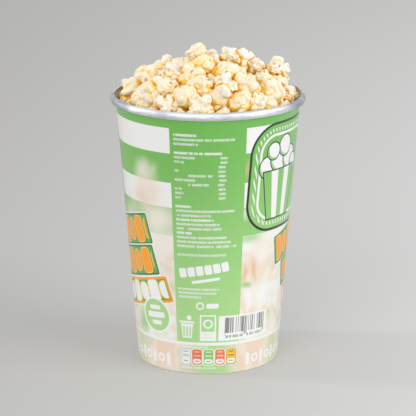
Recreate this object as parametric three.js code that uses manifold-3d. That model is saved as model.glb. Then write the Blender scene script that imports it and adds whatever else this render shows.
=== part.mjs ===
// A printed paper tub with a seamed metal rim, full of popcorn that heaps up above the rim.
// Millimetres, +Z up. The origin is the middle of the circle that the tub stands on.

import * as THREE from 'three';
import { mergeVertices } from 'three/addons/utils/BufferGeometryUtils.js';
import Module from 'manifold-3d';

const wasm = await Module();
wasm.setup();

// Driving dimensions
const ROUND_STEPS = 48;          // flats round the board and metal pieces
const GAP = 0.3;                 // clearance between pieces that meet

const FOOT_RADIUS = 47.4;        // outside of the paper wall where it stands
const SHOULDER_RADIUS = 61.2;    // outside of the wall just under the rim
const SHOULDER_HEIGHT = 176.3;   // underside of the rim, where the wall flares out into it
const FLARE_TOP = 179;           // the flare ends here and the wall stands upright again
const WALL_BOARD = 0.8;          // thickness of the wall's paperboard
const FOOT_ROUNDING = 0.5;       // worn corner where the wall turns in

const HEM_HEIGHT = 8;            // wall turned up inside, round the base's skirt
const BASE_BOARD = 0.7;          // thickness of the base's paperboard

const RIM_RADIUS = 65;           // outside of the seamed metal ring
const RIM_TOP = 181.2;
const RIM_WIDTH = 3;             // from its outside to the tub's mouth
const RIM_METAL = 0.5;           // the ring's top and its inner leg
const RIM_LEG = 1.6;             // how far the inner leg reaches down inside the wall
const BEAD_ROUNDING = 1.4;       // corners of the outer bead
const CORNER_STEPS = 2;          // flats on each rounded corner

const CORN_CLEARANCE = 0.4;      // popcorn to board and metal
const CORN_EDGE_HEIGHT = 174;    // the filling meets the wall here, below the rim
const HEAP_RADIUS = 56;          // plan radius at which the heap has fallen to its foot
const HEAP_FOOT = 178;           // height of flake centres at that radius
const HEAP_RISE = 20;            // from there to the crown
const HEAP_CENTRE = [-2, 4];     // the crown lies a little left and behind
const CORE_DEPTH = 4;            // packed filling begins this far under the flake centres
const CORE_TOP_RADIUS = 54;      // plan radius of the filling's domed top
const CORE_RINGS = 4;
const CORE_STEPS = 24;           // flats round the filling

const SPREAD_PLACES = 400;       // places tried for flakes laid over the heap by rule
const SPREAD_RADIUS = 54;
const FLAKE_RADIUS = [7.4, 10];  // smallest and largest
const FLAKE_SHIFT = 1.2;         // how far a flake strays from its even place
const NEIGHBOUR_FIT = 0.7;       // a place this close to a flake already laid stays free
const FLAKE_VARIANTS = 4;        // shapes of each kind
const CHOSEN_FACETS = 2;         // splits of each edge of the ball a chosen flake starts from
const SPREAD_FACETS = 1;         // the same for a flake laid by rule
const FLAKE_SWELL = 1.03;        // so that flat faces hold the bulk of round ones

// Flake shapes, as shares of the flake's radius: a body, and lobes burst out of it.
const FLAKE_KINDS = {
  ball: { seed: 5, body: 0.78, offset: 0, lobes: 7, lobe: 0.38, reach: 0.58 },
  burst: { seed: 17, body: 0.52, offset: 0, lobes: 6, lobe: 0.44, reach: 0.6 },
  clump: { seed: 29, body: 0.62, offset: 0.15, lobes: 5, lobe: 0.5, reach: 0.52 },
  shell: { seed: 41, body: 0.76, offset: 0.2, lobes: 5, lobe: 0.36, reach: 0.66 },
};
const KIND_NAMES = Object.keys(FLAKE_KINDS);
const LOBE_WANDER = 0.7;         // radians that a lobe may stray round its flake
const LOBE_REACH_RANGE = [0.8, 1.15];
const LOBE_SIZE_RANGE = [0.75, 1.25];

// Flakes that give the heap its outline and its front row: kind, x, y, z, radius.
const CHOSEN_FLAKES = [
  ['clump', -7.4, 6, 207, 8],      // crown
  ['ball', -9, 10, 197, 8.4],      // carries the crown
  ['ball', -3, -9, 200, 9.8],      // just below the crown
  ['ball', 13, -15, 196, 9.6],
  ['burst', 15, 9, 201, 7.6],
  ['burst', 24, 10, 200, 7.4],
  ['burst', 31, 8, 197, 6.2],
  ['burst', -23, -10, 194, 9.2],
  ['clump', -20, 10, 191.5, 8.6],
  ['ball', -34, 8, 189.5, 8],
  ['ball', 25, -24, 189, 9],
  ['burst', 46, 6, 196, 7],        // stands up by the rim on the right
  ['clump', 47, 4, 184, 9],
  ['shell', 42, -16, 184, 9.6],
  ['ball', 37, -3, 189, 7],
  ['shell', -50, -2, 184, 7.6],
  ['ball', -38, -27, 184, 9],
  ['shell', -28, -26, 189, 7.6],
  ['burst', -41.5, 10, 186, 7],
  ['ball', -15, -39, 186, 8.4],
  ['clump', -5, -33, 190, 7.6],
  ['clump', 8, -40, 185.5, 8],
  ['ball', 21, -42.5, 182.5, 8],
  ['burst', 33, -42, 180.5, 7.4],
  ['clump', -26, -44, 181.5, 7.2],
];

const TURN = 2 * Math.PI;
const GOLDEN_ANGLE = Math.PI * (3 - Math.sqrt(5));

// The same small generator gives the same heap every time.
function seeded(seed) {
  let state = seed;
  return () => {
    state = (state * 1664525 + 1013904223) % 4294967296;
    return state / 4294967296;
  };
}

function between([low, high], share) {
  return low + (high - low) * share;
}

// Turned pieces: a profile of [radius, height] pairs, spun about Z.
function turned(profile, steps = ROUND_STEPS) {
  const points = profile.map(([radius, height]) => new THREE.Vector2(radius, height));
  return new THREE.LatheGeometry(points, steps).rotateX(Math.PI / 2);
}

function closedLoop(profile) {
  return [...profile, profile[0]];
}

// A quarter round about a centre, from one angle to the next, in radians.
function corner(radius, height, rounding, from, to) {
  return Array.from({ length: CORNER_STEPS + 1 }, (_, step) => {
    const angle = from + (to - from) * step / CORNER_STEPS;
    return [radius + rounding * Math.cos(angle), height + rounding * Math.sin(angle)];
  });
}

// Joining and cutting
function solid(geometry) {
  const bare = geometry.index ? geometry.toNonIndexed() : geometry.clone();
  bare.deleteAttribute('normal');
  bare.deleteAttribute('uv');
  const merged = mergeVertices(bare, 1e-4);
  return new wasm.Manifold(new wasm.Mesh({
    numProp: 3,
    vertProperties: new Float32Array(merged.attributes.position.array),
    triVerts: new Uint32Array(merged.index.array),
  }));
}

function geometryOf(body) {
  const mesh = body.getMesh();
  const geometry = new THREE.BufferGeometry();
  geometry.setAttribute('position', new THREE.BufferAttribute(mesh.vertProperties, 3));
  geometry.setIndex(new THREE.BufferAttribute(mesh.triVerts, 1));
  return geometry;
}

// Fills the pockets that fusing seals and drops loose scraps: only the outer shell is kept.
function largestShell(body) {
  const shells = body.decompose();
  return shells.reduce((largest, shell) => (shell.volume() > largest.volume() ? shell : largest));
}

// The wall widens evenly from its foot to the rim.
function wallRadius(height) {
  return FOOT_RADIUS + (SHOULDER_RADIUS - FOOT_RADIUS) * height / SHOULDER_HEIGHT;
}

const rimBore = RIM_RADIUS - RIM_WIDTH;
const rimLegOutside = rimBore + RIM_METAL;
const rimCeiling = RIM_TOP - RIM_METAL;
const wallTop = rimCeiling - GAP;
const flaredRadius = rimLegOutside + GAP + WALL_BOARD;
const skirtSlot = BASE_BOARD + 2 * GAP;
const baseUnderside = HEM_HEIGHT + GAP;
const baseTop = baseUnderside + BASE_BOARD;

// Paper wall, flared into the rim. At its foot it is turned in and up to make a hem that grips
// the base's skirt.
function tubWall() {
  const inside = height => wallRadius(height) - WALL_BOARD;
  const flareShift = 0.4 * WALL_BOARD;
  const hemOutside = height => inside(height) - skirtSlot;
  const hemInside = height => hemOutside(height) - WALL_BOARD;
  return turned(closedLoop([
    [FOOT_RADIUS - FOOT_ROUNDING, 0],
    [wallRadius(FOOT_ROUNDING), FOOT_ROUNDING],
    [wallRadius(SHOULDER_HEIGHT), SHOULDER_HEIGHT],
    [flaredRadius, FLARE_TOP],
    [flaredRadius, wallTop],
    [flaredRadius - WALL_BOARD, wallTop],
    [flaredRadius - WALL_BOARD, FLARE_TOP + flareShift],
    [inside(SHOULDER_HEIGHT), SHOULDER_HEIGHT + flareShift],
    [inside(WALL_BOARD), WALL_BOARD],
    [hemOutside(WALL_BOARD), WALL_BOARD],
    [hemOutside(HEM_HEIGHT), HEM_HEIGHT],
    [hemInside(HEM_HEIGHT), HEM_HEIGHT],
    [hemInside(0), 0],
  ]));
}

// Round base, its skirt turned down into the wall's hem.
function tubBase() {
  const skirtOutside = height => wallRadius(height) - WALL_BOARD - GAP;
  const skirtInside = height => skirtOutside(height) - BASE_BOARD;
  const skirtEnd = WALL_BOARD + GAP;
  return turned([
    [0, baseUnderside],
    [skirtInside(baseUnderside), baseUnderside],
    [skirtInside(skirtEnd), skirtEnd],
    [skirtOutside(skirtEnd), skirtEnd],
    [skirtOutside(baseTop), baseTop],
    [0, baseTop],
  ]);
}

// Metal ring: a rolled bead outside, over the wall's flared edge, and a short leg inside.
function rimRing() {
  const footInside = SHOULDER_RADIUS + 1.4 * GAP;
  const beadInside = flaredRadius + GAP;
  const beadCentre = RIM_RADIUS - BEAD_ROUNDING;
  return turned(closedLoop([
    [footInside, SHOULDER_HEIGHT],
    ...corner(beadCentre, SHOULDER_HEIGHT + BEAD_ROUNDING, BEAD_ROUNDING, -Math.PI / 2, 0),
    ...corner(beadCentre, RIM_TOP - BEAD_ROUNDING, BEAD_ROUNDING, 0, Math.PI / 2),
    ...corner(rimBore + RIM_METAL, RIM_TOP - RIM_METAL, RIM_METAL, Math.PI / 2, Math.PI),
    [rimBore, RIM_TOP - RIM_LEG],
    [rimLegOutside, RIM_TOP - RIM_LEG],
    [rimLegOutside, rimCeiling],
    [beadInside, rimCeiling],
    [beadInside, FLARE_TOP - 0.4 * GAP],
  ]));
}

// The heap's form: the height of flake centres over a point in plan.
function heapHeight(x, y) {
  const away = Math.hypot(x - HEAP_CENTRE[0], y - HEAP_CENTRE[1]) / HEAP_RADIUS;
  return HEAP_FOOT + HEAP_RISE * (1 - away * away);
}

function lobesOf(kind, variant) {
  const draw = seeded(kind.seed + 100 * variant);
  const lobes = [{ centre: new THREE.Vector3(0, 0, kind.offset), radius: kind.body }];
  const start = TURN * draw();
  for (let lobe = 0; lobe < kind.lobes; lobe++) {
    const height = 1 - 2 * (lobe + 0.5) / kind.lobes;
    const around = start + GOLDEN_ANGLE * lobe + LOBE_WANDER * draw();
    const reach = kind.reach * between(LOBE_REACH_RANGE, draw());
    const across = reach * Math.sqrt(1 - height * height);
    const centre = new THREE.Vector3(across * Math.cos(around), across * Math.sin(around), reach * height);
    lobes.push({ centre, radius: kind.lobe * between(LOBE_SIZE_RANGE, draw()) });
  }
  return lobes;
}

// How far out the flake's skin lies in a direction: past the farthest lobe on that line.
function skinDistance(direction, lobes) {
  let farthest = 0;
  for (const { centre, radius } of lobes) {
    const along = direction.dot(centre);
    const inside = along * along - centre.lengthSq() + radius * radius;
    if (inside > 0) farthest = Math.max(farthest, along + Math.sqrt(inside));
  }
  return farthest;
}

function flakeShape(kind, variant, facets) {
  const lobes = lobesOf(kind, variant);
  const geometry = new THREE.IcosahedronGeometry(1, facets);
  const position = geometry.attributes.position;
  const direction = new THREE.Vector3();
  for (let vertex = 0; vertex < position.count; vertex++) {
    direction.fromBufferAttribute(position, vertex).normalize();
    direction.multiplyScalar(FLAKE_SWELL * skinDistance(direction, lobes));
    position.setXYZ(vertex, direction.x, direction.y, direction.z);
  }
  return geometry;
}

function heapFlakes() {
  const draw = seeded(7);
  const flakes = [];
  const lay = (kind, x, y, z, radius, facets) => {
    const variant = Math.floor(draw() * FLAKE_VARIANTS);
    const turn = [draw(), draw(), draw()].map(part => part * TURN);
    flakes.push({ kind, variant, x, y, z, radius, turn, facets });
  };
  for (const chosen of CHOSEN_FLAKES) lay(...chosen, CHOSEN_FACETS);
  for (let place = 0; place < SPREAD_PLACES; place++) {
    const kind = KIND_NAMES[Math.floor(draw() * KIND_NAMES.length)];
    const radius = between(FLAKE_RADIUS, draw());
    const around = GOLDEN_ANGLE * place;
    const even = SPREAD_RADIUS * Math.sqrt((place + 0.5) / SPREAD_PLACES);
    const out = Math.min(even, rimBore - radius);
    const x = out * Math.cos(around) + between([-FLAKE_SHIFT, FLAKE_SHIFT], draw());
    const y = out * Math.sin(around) + between([-FLAKE_SHIFT, FLAKE_SHIFT], draw());
    const z = heapHeight(x, y) + between([-FLAKE_SHIFT, FLAKE_SHIFT], draw());
    const crowded = flakes.some(other => {
      const apart = Math.hypot(x - other.x, y - other.y, z - other.z);
      return apart < NEIGHBOUR_FIT * (radius + other.radius);
    });
    if (!crowded) lay(kind, x, y, z, radius, SPREAD_FACETS);
  }
  return flakes;
}

// The packed filling under the flakes that show.
function packedCore(floor, edge) {
  const profile = [[0, floor], [edge(floor), floor], [edge(CORN_EDGE_HEIGHT), CORN_EDGE_HEIGHT]];
  for (let ring = CORE_RINGS; ring >= 0; ring--) {
    profile.push([CORE_TOP_RADIUS * ring / CORE_RINGS, HEAP_FOOT]);
  }
  const geometry = turned(profile, CORE_STEPS);
  const position = geometry.attributes.position;
  for (let vertex = 0; vertex < position.count; vertex++) {
    if (position.getZ(vertex) < HEAP_FOOT) continue;
    const height = heapHeight(position.getX(vertex), position.getY(vertex));
    position.setZ(vertex, height - CORE_DEPTH);
  }
  return geometry;
}

// The space that popcorn may fill: clear of the board and the rim, and open above.
function popcornRoom(floor, edge) {
  const mouth = rimBore - CORN_CLEARANCE;
  const rimFoot = RIM_TOP - RIM_LEG;
  const overRim = RIM_TOP + CORN_CLEARANCE;
  const sky = HEAP_FOOT + 2 * HEAP_RISE;
  return turned([
    [0, floor],
    [edge(floor), floor],
    [edge(SHOULDER_HEIGHT), SHOULDER_HEIGHT],
    [mouth, rimFoot],
    [mouth, overRim],
    [RIM_RADIUS, overRim + CORN_CLEARANCE],
    [RIM_RADIUS, sky],
    [0, sky],
  ]);
}

// Popcorn: the core with the flakes of the heap's skin fused on.
function popcorn() {
  const floor = baseTop + CORN_CLEARANCE;
  const edge = height => wallRadius(height) - WALL_BOARD - CORN_CLEARANCE;
  let heap = solid(packedCore(floor, edge));
  for (const flake of heapFlakes()) {
    const place = new THREE.Matrix4().compose(
      new THREE.Vector3(flake.x, flake.y, flake.z),
      new THREE.Quaternion().setFromEuler(new THREE.Euler(...flake.turn)),
      new THREE.Vector3().setScalar(flake.radius),
    );
    const shape = flakeShape(FLAKE_KINDS[flake.kind], flake.variant, flake.facets);
    heap = heap.add(solid(shape.applyMatrix4(place)));
  }
  return geometryOf(largestShell(heap.intersect(solid(popcornRoom(floor / 2, edge)))));
}

function part(name, geometry, look) {
  const mesh = new THREE.Mesh(geometry, new THREE.MeshStandardMaterial({ ...look, flatShading: true }));
  mesh.name = name;
  return mesh;
}

const bucket = new THREE.Group();
bucket.name = 'popcorn_bucket';
bucket.add(
  part('tub_wall', tubWall(), { color: 0x74b85a, roughness: 0.45, metalness: 0 }),
  part('tub_base', tubBase(), { color: 0xd8d2c4, roughness: 0.7, metalness: 0 }),
  part('rim_ring', rimRing(), { color: 0xc9ccd2, roughness: 0.28, metalness: 1 }),
  part('popcorn', popcorn(), { color: 0xf7e6bd, roughness: 0.75, metalness: 0 }),
);

export default bucket;
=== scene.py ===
import math

import bmesh
import bpy
from mathutils import Euler, Matrix, Vector, noise
from mathutils.bvhtree import BVHTree


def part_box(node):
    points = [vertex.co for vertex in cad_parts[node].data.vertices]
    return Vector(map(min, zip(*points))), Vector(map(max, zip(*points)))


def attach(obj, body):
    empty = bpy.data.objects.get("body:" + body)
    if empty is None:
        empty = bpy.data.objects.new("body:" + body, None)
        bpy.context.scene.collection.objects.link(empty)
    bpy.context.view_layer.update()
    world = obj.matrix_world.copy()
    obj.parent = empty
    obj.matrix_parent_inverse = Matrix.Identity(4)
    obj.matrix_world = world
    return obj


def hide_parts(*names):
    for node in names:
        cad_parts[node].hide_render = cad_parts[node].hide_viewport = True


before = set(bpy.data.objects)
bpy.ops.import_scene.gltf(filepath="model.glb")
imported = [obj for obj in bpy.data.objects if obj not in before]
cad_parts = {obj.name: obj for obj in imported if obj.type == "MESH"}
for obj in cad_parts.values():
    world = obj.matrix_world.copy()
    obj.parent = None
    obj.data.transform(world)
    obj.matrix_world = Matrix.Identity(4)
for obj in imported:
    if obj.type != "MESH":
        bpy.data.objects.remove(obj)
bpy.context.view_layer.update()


# --- Tub wall ------------------------------------------------------------------------
# A tapered wall of coated board, rolled into a cone and lapped at the back. Its foot is
# turned in and up round the skirt of the base, and its top edge runs up into the rim.

MM = 0.001
WALL_STEPS = 192
WALL_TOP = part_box("tub_wall")[1].z
FLARED_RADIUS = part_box("tub_wall")[1].x
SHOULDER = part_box("rim_ring")[0].z   # the wall flares out into the rim from here
SHOULDER_RADIUS = 61.2 * MM
FLARE_TOP = 179 * MM
FLARE_SHIFT = 0.32 * MM        # the flare starts this much higher inside
FOOT_RADIUS = 47.4 * MM
FOOT_ROUNDING = 0.5 * MM
WALL_BOARD = 0.8 * MM
SKIRT_SLOT = 1.3 * MM          # room between the wall and its turned-up hem
HEM_HEIGHT = 8 * MM
LAP_WIDTH = 9 * MM             # where the board's two edges are glued over each other
LAP_EDGE = 0.4 * MM
LAP_RISE = 0.22 * MM
CUT_ROUNDING = 0.18 * MM
TAPER = (SHOULDER_RADIUS - FOOT_RADIUS) / SHOULDER


def wall_radius(height):
    """The wall's outer radius: it widens evenly, then flares out under the rim."""
    flare = max(0, min(1, (height - SHOULDER) / (FLARE_TOP - SHOULDER)))
    return FOOT_RADIUS + TAPER * min(height, SHOULDER) + flare * (FLARED_RADIUS - SHOULDER_RADIUS)


def turned(outline, steps):
    """A bmesh turned round the Z axis from a closed outline of (radius, height) points."""
    bm = bmesh.new()
    points = [bm.verts.new((radius, 0, height)) for radius, height in outline]
    edges = [bm.edges.new(ends) for ends in zip(points, points[1:] + points[:1])]
    bmesh.ops.spin(
        bm, geom=points + edges, axis=(0, 0, 1), angle=math.tau, steps=steps, use_merge=True
    )
    bmesh.ops.remove_doubles(bm, verts=bm.verts, dist=0.001 * MM)
    bmesh.ops.recalc_face_normals(bm, faces=bm.faces)
    return bm


def soften(bm, width, segments, least_angle=30, where=lambda edge: True):
    """Rounds the edges that turn by more than least_angle degrees."""
    sharp = [
        edge
        for edge in bm.edges
        if len(edge.link_faces) == 2
        and edge.calc_face_angle() > math.radians(least_angle)
        and where(edge)
    ]
    bmesh.ops.bevel(
        bm, geom=sharp, offset=width, segments=segments, affect="EDGES", profile=0.5, material=-1
    )


def meshed(name, bm):
    """A mesh made from a bmesh, which is freed."""
    mesh = bpy.data.meshes.new(name)
    bm.to_mesh(mesh)
    bm.free()
    return mesh


def placed(name, data):
    """A new object of the scene."""
    made = bpy.data.objects.new(name, data)
    bpy.context.scene.collection.objects.link(made)
    return made


def piece(name, bm, finishes, nodes, crease=180):
    """Makes a named piece from a bmesh, riding on the body and standing for these nodes.

    Its edges are shaded sharp where they turn by more than crease degrees.
    """
    mesh = meshed(name, bm)
    for finish in finishes:
        mesh.materials.append(finish.material)
    mesh.shade_smooth()
    if crease < 180:
        mesh.set_sharp_from_angle(angle=math.radians(crease))
    made = placed(name, mesh)
    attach(made, "root")
    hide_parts(*nodes)
    return made


def in_from_wall(depth, height):
    """A point of an outline, some way in from the wall's outer face."""
    return wall_radius(height) - depth, height


def wall_outline():
    """Outside of the wall, its flared edge, the inside, and the turned-up hem."""
    hem = WALL_BOARD + SKIRT_SLOT
    return [
        (FOOT_RADIUS - FOOT_ROUNDING, 0),
        (FOOT_RADIUS - 0.3 * FOOT_ROUNDING, 0.3 * FOOT_ROUNDING),
        in_from_wall(0, FOOT_ROUNDING),
        in_from_wall(0, SHOULDER),
        (FLARED_RADIUS, FLARE_TOP),
        (FLARED_RADIUS, WALL_TOP),
        (FLARED_RADIUS - WALL_BOARD, WALL_TOP),
        (FLARED_RADIUS - WALL_BOARD, FLARE_TOP + FLARE_SHIFT),
        (wall_radius(SHOULDER) - WALL_BOARD, SHOULDER + FLARE_SHIFT),
        in_from_wall(WALL_BOARD, WALL_BOARD),
        in_from_wall(hem, WALL_BOARD),
        in_from_wall(hem, HEM_HEIGHT),
        in_from_wall(hem + WALL_BOARD, HEM_HEIGHT),
        in_from_wall(hem + WALL_BOARD, 0),
    ]


def add_lap(bm):
    """Lifts the outer edge of the board where it is glued over the inner one, at the back."""
    back = [face for face in bm.faces if face.calc_center_median().y > 0]
    edges = dict.fromkeys(edge for face in back for edge in face.edges)
    verts = dict.fromkeys(vert for face in back for vert in face.verts)
    bmesh.ops.bisect_plane(
        bm, geom=[*back, *edges, *verts], plane_co=(-LAP_EDGE, 0, 0), plane_no=(1, 0, 0)
    )
    for vert in bm.verts:
        outward = Vector((vert.co.x, vert.co.y, 0))
        on_lap = vert.co.y > 0 and -0.5 * LAP_EDGE < vert.co.x < LAP_WIDTH
        on_outside = outward.length > wall_radius(vert.co.z) - 0.5 * WALL_BOARD
        if on_lap and on_outside:
            share = 1 - vert.co.x / LAP_WIDTH
            vert.co += outward.normalized() * LAP_RISE * min(1, 2 * share)


def math_node(operation, swapped=False):
    """A method of Field that adds a Math node for one operation."""

    def method(self, *others):
        values = (*others, self) if swapped else (self, *others)
        return self.finish.node("ShaderNodeMath", {"operation": operation}, dict(enumerate(values)))

    return method


class Field:
    """A number that varies over a surface: arithmetic on it adds the Math nodes for it."""

    __add__ = __radd__ = math_node("ADD")
    __mul__ = __rmul__ = math_node("MULTIPLY")
    __sub__ = math_node("SUBTRACT")
    __rsub__ = math_node("SUBTRACT", swapped=True)
    __truediv__ = math_node("DIVIDE")
    __rtruediv__ = math_node("DIVIDE", swapped=True)
    __mod__ = math_node("FLOORED_MODULO")
    __abs__ = math_node("ABSOLUTE")
    floor = math_node("FLOOR")
    arctan2 = math_node("ARCTAN2")
    at_least = math_node("MAXIMUM")
    at_most = math_node("MINIMUM")

    def __init__(self, finish, socket):
        self.finish = finish
        self.socket = socket

    def output(self, name):
        """Another output of the same node."""
        return Field(self.finish, self.socket.node.outputs[name])

    def fade(self, start, end):
        """0 at start, 1 at end and beyond, with a soft change between."""
        inputs = {"Value": self, "From Min": start, "From Max": end}
        return self.finish.node("ShaderNodeMapRange", {"interpolation_type": "SMOOTHSTEP"}, inputs)

    def band(self, low, high, soft):
        """1 between low and high, 0 outside."""
        middle = (low + high) / 2
        half = (high - low) / 2
        return abs(self - middle).fade(half + soft / 2, half - soft / 2)


class Finish:
    """A material made of shader nodes that end in one Principled surface."""

    def __init__(self, name):
        self.material = bpy.data.materials.new(name)
        self.material.use_nodes = True
        self.tree = self.material.node_tree
        self.place = self.node("ShaderNodeTexCoord", {}, {}).output("Object")

    def node(self, kind, settings, inputs):
        """Adds a node: its settings first, then the values or links of its sockets."""
        node = self.tree.nodes.new(kind)
        for name, value in settings.items():
            if name == "stops":
                self.set_stops(node.color_ramp, value)
            else:
                setattr(node, name, value)
        for name, value in inputs.items():
            self.feed(self.socket(node, name), value)
        return Field(self, next(socket for socket in node.outputs if socket.enabled))

    def socket(self, node, name):
        """An input by its number, or the one of that name that is in use."""
        if isinstance(name, int):
            return node.inputs[name]
        return next(socket for socket in node.inputs if socket.name == name and socket.enabled)

    def feed(self, socket, value):
        if isinstance(value, Field):
            self.tree.links.new(value.socket, socket)
        elif socket.type == "RGBA":
            socket.default_value = (*value[:3], 1)
        else:
            socket.default_value = value

    def set_stops(self, ramp, stops):
        """Makes a ramp a row of plain steps."""
        ramp.interpolation = "CONSTANT"
        while len(ramp.elements) < len(stops):
            ramp.elements.new(1)
        for element, (position, colour) in zip(ramp.elements, stops):
            element.position = position
            element.color = (*colour, 1)

    def axes(self, vector):
        """The three parts of a vector."""
        first = self.node("ShaderNodeSeparateXYZ", {}, {"Vector": vector})
        return first, first.output("Y"), first.output("Z")

    def joined(self, x, y, z=0):
        return self.node("ShaderNodeCombineXYZ", {}, {"X": x, "Y": y, "Z": z})

    def length(self, x, y):
        return self.node("ShaderNodeVectorMath", {"operation": "LENGTH"}, {0: self.joined(x, y)})

    def noise(self, vector, scale, detail=2, rough=0.5):
        inputs = {"Vector": vector, "Scale": scale, "Detail": detail, "Roughness": rough}
        return self.node("ShaderNodeTexNoise", {}, inputs)

    def speckle(self, x, y):
        """A random number for each pair of whole numbers."""
        return self.node("ShaderNodeTexWhiteNoise", {}, {"Vector": self.joined(x, y)})

    def mix(self, share, first, second):
        inputs = {"Factor": share, "A": first, "B": second}
        return self.node("ShaderNodeMix", {"data_type": "RGBA"}, inputs)

    def surface(self, inputs):
        """Sets the Principled surface's sockets."""
        shader = self.tree.nodes["Principled BSDF"]
        for name, value in inputs.items():
            self.feed(shader.inputs[name], value)

    def bumps(self, height, depth, strength):
        inputs = {"Strength": strength, "Distance": depth, "Height": height}
        return self.node("ShaderNodeBump", {}, inputs)


def swatch(red, green, blue):
    """A colour from the 0 to 255 numbers of a screen swatch."""
    parts = [part / 255 for part in (red, green, blue)]
    return tuple(p / 12.92 if p < 0.04045 else ((p + 0.055) / 1.055) ** 2.4 for p in parts)


# Inks
# The green ink runs from GREEN_TOP to GREEN_FOOT: painted paler towards the foot, a painted
# reflection of the bright floor
GREEN_TOP = swatch(112, 186, 80)
GREEN_FOOT = swatch(172, 218, 142)
DARK_GREEN = swatch(56, 124, 58)
TITLE_GREEN = swatch(96, 172, 82)
LEAF_GREEN = swatch(140, 202, 112)
WHITE = swatch(243, 243, 241)
ORANGE = swatch(255, 160, 10)
PALE_ORANGE = swatch(250, 206, 110)
BLACK = swatch(28, 32, 30)
CORN_CREAM = swatch(242, 234, 222)
CORN_PEACH = swatch(238, 214, 190)
CORN_TAN = swatch(230, 190, 150)
FOOT_BEIGE = swatch(214, 208, 188)
OVAL_GREY = swatch(150, 150, 146)

# Millimetres up the wall, and degrees round it from the middle of the information panel
HOOP_EDGES = (22.3, 40.6, 59, 77, 96, 115.5, 132.5, 152.5, 169.7)
PRINT_TOP = 175.4              # bare white board above this
GREEN_SPAN = (175, 20)         # from the deepest green to the palest: painted paler low down, a painted reflection of the bright floor
PANEL_HALF_ANGLE = 24.5
RING_LINE = (20.3, 22.3)
BORDER_START = 10.5            # the border of beads and bars at the foot
BORDER_STEP = 7.15
BORDER_CELLS = 7
BORDER_HEIGHT = 8.4
CRISP = 0.3                    # softness of a printed edge
TEXT_PITCH = 3.03              # line to line of the fine print
TEXT_TOP = 165.7
TEXT_LEFT = -22
TEXT_SPAN = 49                 # degrees from TEXT_LEFT that a line's ends are shares of
# Where each line of fine print begins and ends, in degrees, and how strong it is
TEXT_LINES = (
    (-22, -7, 1), (-22, 17, 0.7), (-22, -6, 0.7), (0, 0, 0),
    (-22, 9, 1), (-22, -8, 0.7), (-22, -15, 0.7), (0, 0, 0), (-22, -19, 0.7), (-13, 3, 0.7),
    (-22, -8, 0.7), (-13, 1, 0.7), (-22, -17, 0.7), (-22, -16, 0.7), (-22, -18, 0.7), (0, 0, 0),
    (-22, -11, 1), (-22, 18, 0.7), (-22, 2, 0.7), (-22, 4, 1), (-22, 8, 0.7), (-22, 10, 0.7),
    (-22, -11, 1), (-22, 13, 0.7), (-22, 16, 0.7), (-22, 20, 0.7), (0, 0, 0), (-22, 13, 0.6),
)
ADDRESS_LINES = ((60, 8), (57.3, 6), (54.5, -5))


class Print(Finish):
    """The tub's print, laid coat over coat, in millimetres up and degrees round the wall."""

    def __init__(self, name):
        super().__init__(name)
        x, y, z = self.axes(self.place)
        self.height = z / MM
        self.turn = x.arctan2(0 - y) * math.degrees(1)
        self.face_turn = (self.turn % 180) - 90
        self.arc = (self.height * TAPER + FOOT_RADIUS / MM) * math.radians(1)
        self.round_place = self.node(
            "ShaderNodeVectorMath", {"operation": "SCALE"}, {0: self.place, "Scale": 1 / MM}
        )
        # Painted reflection: the green ink turns paler towards the foot, as if it mirrored the
        # bright floor
        self.greens_with_painted_reflection = self.mix(self.height.fade(*GREEN_SPAN), GREEN_TOP, GREEN_FOOT)
        self.colour = WHITE

    def lay(self, cover, paint):
        """Lays paint over the print so far."""
        self.colour = self.mix(cover, self.colour, paint)

    def stamp(self, distance, paint, grow=0):
        """Lays paint within an outline, widened by some millimetres."""
        self.lay(self.inside(distance, grow), paint)

    def inside(self, distance, grow=0):
        return distance.fade(grow + CRISP / 2, grow - CRISP / 2)

    def local(self, turn, middle_turn, middle_height, tilt=0):
        """Millimetres across and up from a point of the wall, tilted by some degrees."""
        across = (turn - middle_turn) * self.arc
        up = self.height - middle_height
        if not tilt:
            return across, up
        lean, rise = math.cos(math.radians(tilt)), math.sin(math.radians(tilt))
        return across * lean + up * rise, up * lean - across * rise

    def disc(self, across, up, radius):
        """Distance outside a disc."""
        return self.length(across, up) - radius

    def slab(self, across, up, half_width, half_height, corner):
        """Distance outside a rectangle with round corners, negative within it."""
        side = abs(across) - (half_width - corner)
        end = abs(up) - (half_height - corner)
        outside = self.length(side.at_least(0), end.at_least(0))
        return outside + side.at_least(end).at_most(0) - corner

    def cells(self, along, step):
        """Equal cells along a run: the number of each, and how far from its middle."""
        number = (along / step).floor()
        return number, (along / step - number - 0.5) * step

    def clouds(self, fine_round, fine_up, layer, scale):
        """Soft noise over the wall."""
        place = self.joined(self.turn * fine_round, self.height * fine_up, layer)
        return self.noise(place, scale)

    def pick(self, number, colours):
        """One of a row of colours, by its number."""
        stops = [(index / len(colours), colour) for index, colour in enumerate(colours)]
        share = (number + 0.5) / len(colours)
        return self.node("ShaderNodeValToRGB", {"stops": stops}, {"Fac": share})


def print_hoops(ink):
    """Green and white hoops round the whole tub."""
    hoops = 0
    for index, edge in enumerate(HOOP_EDGES):
        step = ink.height.fade(edge - CRISP / 2, edge + CRISP / 2)
        hoops = hoops - step if index % 2 else hoops + step
    ink.lay(hoops, ink.greens_with_painted_reflection)


def print_popcorn(ink):
    """Soft, out-of-focus popcorn over the hoops, thick low down and gone near the top."""
    drift = ink.clouds(0.022, 0.024, 3.7, 1.6)
    thick = ink.height.fade(106, 84) * 0.42 + ink.height.fade(70, 52) * 0.12
    thick = thick - ink.height.band(41, 59, 1) * 0.3 - ink.height.fade(118, 150) * 0.3
    tone = ink.clouds(0.05, 0.045, 8.1, 1.3)
    corn = ink.mix(tone.fade(0.42, 0.68), CORN_CREAM, CORN_PEACH)
    corn = ink.mix(tone.fade(0.62, 0.8) * 0.6, corn, CORN_TAN)
    light = ink.clouds(0.06, 0.055, 1.3, 1.7)
    corn = ink.mix(light.fade(0.42, 0.66), corn, WHITE)
    ink.lay((drift + thick).fade(0.5, 0.78) * 0.94, corn)


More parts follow.
